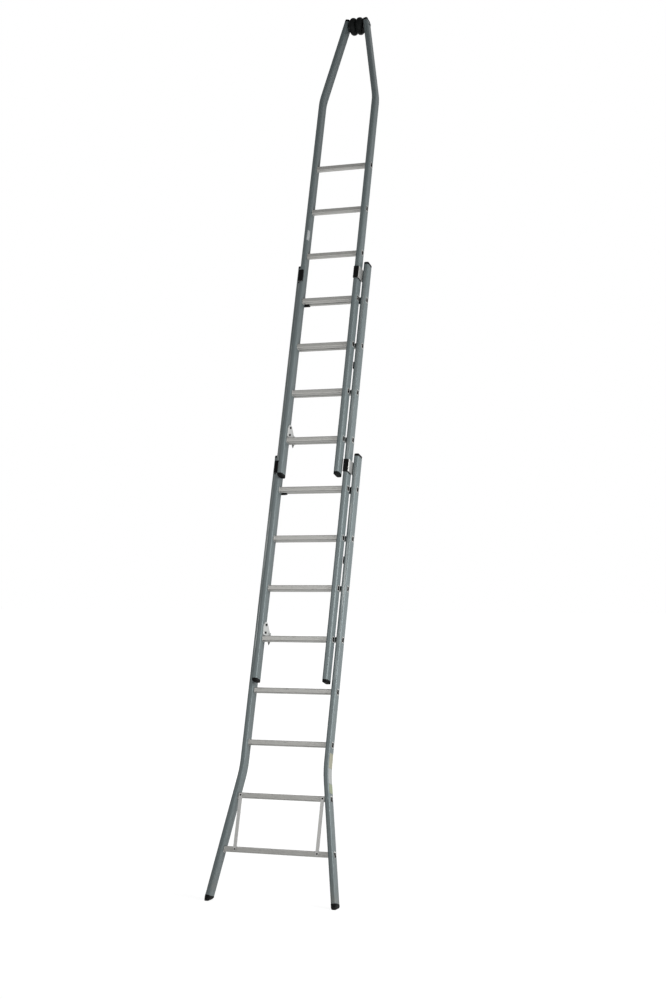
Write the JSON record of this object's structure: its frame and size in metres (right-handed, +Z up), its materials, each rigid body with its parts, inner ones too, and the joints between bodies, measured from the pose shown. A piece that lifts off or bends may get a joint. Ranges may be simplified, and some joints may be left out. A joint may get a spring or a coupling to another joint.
{
  "type": "extension ladder",
  "caption": "Three-section extension ladder that narrows to a point with wall wheels, on a splayed base with rubber feet, shown leaning and fully extended.",
  "frame": {"origin": "on the floor, midway between the soles of the two feet", "axes": "+X along the rungs towards the right foot as a climber sees it, +Y level towards the wall that the ladder leans on, +Z up; the stiles lean 16.4 degrees from +Z towards +Y"},
  "size_m": [0.7238, 1.4262, 4.9854],
  "materials": {
    "coated_tube": "matte grey coating",
    "rung_aluminium": "mill finish, ribbed",
    "brace_aluminium": "mill finish",
    "bright_plate": "satin",
    "black_plastic": "matte",
    "bush_plastic": "satin",
    "foot_rubber": "matte",
    "wheel_rubber": "matte",
    "rivet_steel": "satin",
    "axle_steel": "satin"
  },
  "bodies": {
    "base_section": {"base_left_stile": "coated_tube", "base_right_stile": "coated_tube", "base_rung_1": "rung_aluminium", "base_rung_2": "rung_aluminium", "base_rung_3": "rung_aluminium", "base_rung_4": "rung_aluminium", "base_rung_5": "rung_aluminium", "base_rung_6": "rung_aluminium", "base_rung_7": "rung_aluminium", "base_rung_8": "rung_aluminium", "left_foot": "foot_rubber", "right_foot": "foot_rubber", "base_top_caps": "black_plastic", "base_guide_plates": "bright_plate", "base_guide_pads": "black_plastic", "base_guide_rivets": "rivet_steel", "base_slide_blocks": "black_plastic", "base_wear_pads": "black_plastic", "base_braces": "brace_aluminium", "brace_rivets": "rivet_steel"},
    "middle_section": {"middle_left_stile": "coated_tube", "middle_right_stile": "coated_tube", "middle_rung_1": "rung_aluminium", "middle_rung_2": "rung_aluminium", "middle_rung_3": "rung_aluminium", "middle_rung_4": "rung_aluminium", "middle_rung_5": "rung_aluminium", "middle_rung_6": "rung_aluminium", "middle_rung_7": "rung_aluminium", "middle_rung_8": "rung_aluminium", "middle_top_caps": "black_plastic", "middle_bottom_caps": "black_plastic", "middle_guide_plates": "bright_plate", "middle_guide_pads": "black_plastic", "middle_guide_rivets": "rivet_steel", "middle_slide_blocks": "black_plastic", "middle_wear_pads": "black_plastic", "middle_hooks": "bright_plate", "middle_hook_rivets": "rivet_steel"},
    "top_section": {"top_left_stile": "coated_tube", "top_right_stile": "coated_tube", "top_rung_1": "rung_aluminium", "top_rung_2": "rung_aluminium", "top_rung_3": "rung_aluminium", "top_rung_4": "rung_aluminium", "top_rung_5": "rung_aluminium", "top_rung_6": "rung_aluminium", "top_rung_7": "rung_aluminium", "tip_caps": "black_plastic", "top_bottom_caps": "black_plastic", "top_hooks": "bright_plate", "top_hook_rivets": "rivet_steel", "wheel_axle": "axle_steel", "axle_nut": "axle_steel", "axle_washers": "axle_steel"},
    "left_wheel": {"left_wheel_tyre": "wheel_rubber", "left_wheel_bush": "bush_plastic"},
    "right_wheel": {"right_wheel_tyre": "wheel_rubber", "right_wheel_bush": "bush_plastic"}
  },
  "joints": [
    {"name": "middle_slide", "type": "slide", "parent": "base_section", "child": "middle_section", "axis": [0, 0.2823, 0.9593], "range_m": [-1.12, 0]},
    {"name": "top_slide", "type": "slide", "parent": "middle_section", "child": "top_section", "axis": [0, 0.2823, 0.9593], "range_m": [-1.12, 0]},
    {"name": "left_wheel_spin", "type": "hinge", "parent": "top_section", "child": "left_wheel", "pos_m": [-0.0202, 1.34356, 4.93338], "axis": [1, 0, 0], "continuous": true},
    {"name": "right_wheel_spin", "type": "hinge", "parent": "top_section", "child": "right_wheel", "pos_m": [0.0202, 1.34356, 4.93338], "axis": [1, 0, 0], "continuous": true}
  ]
}
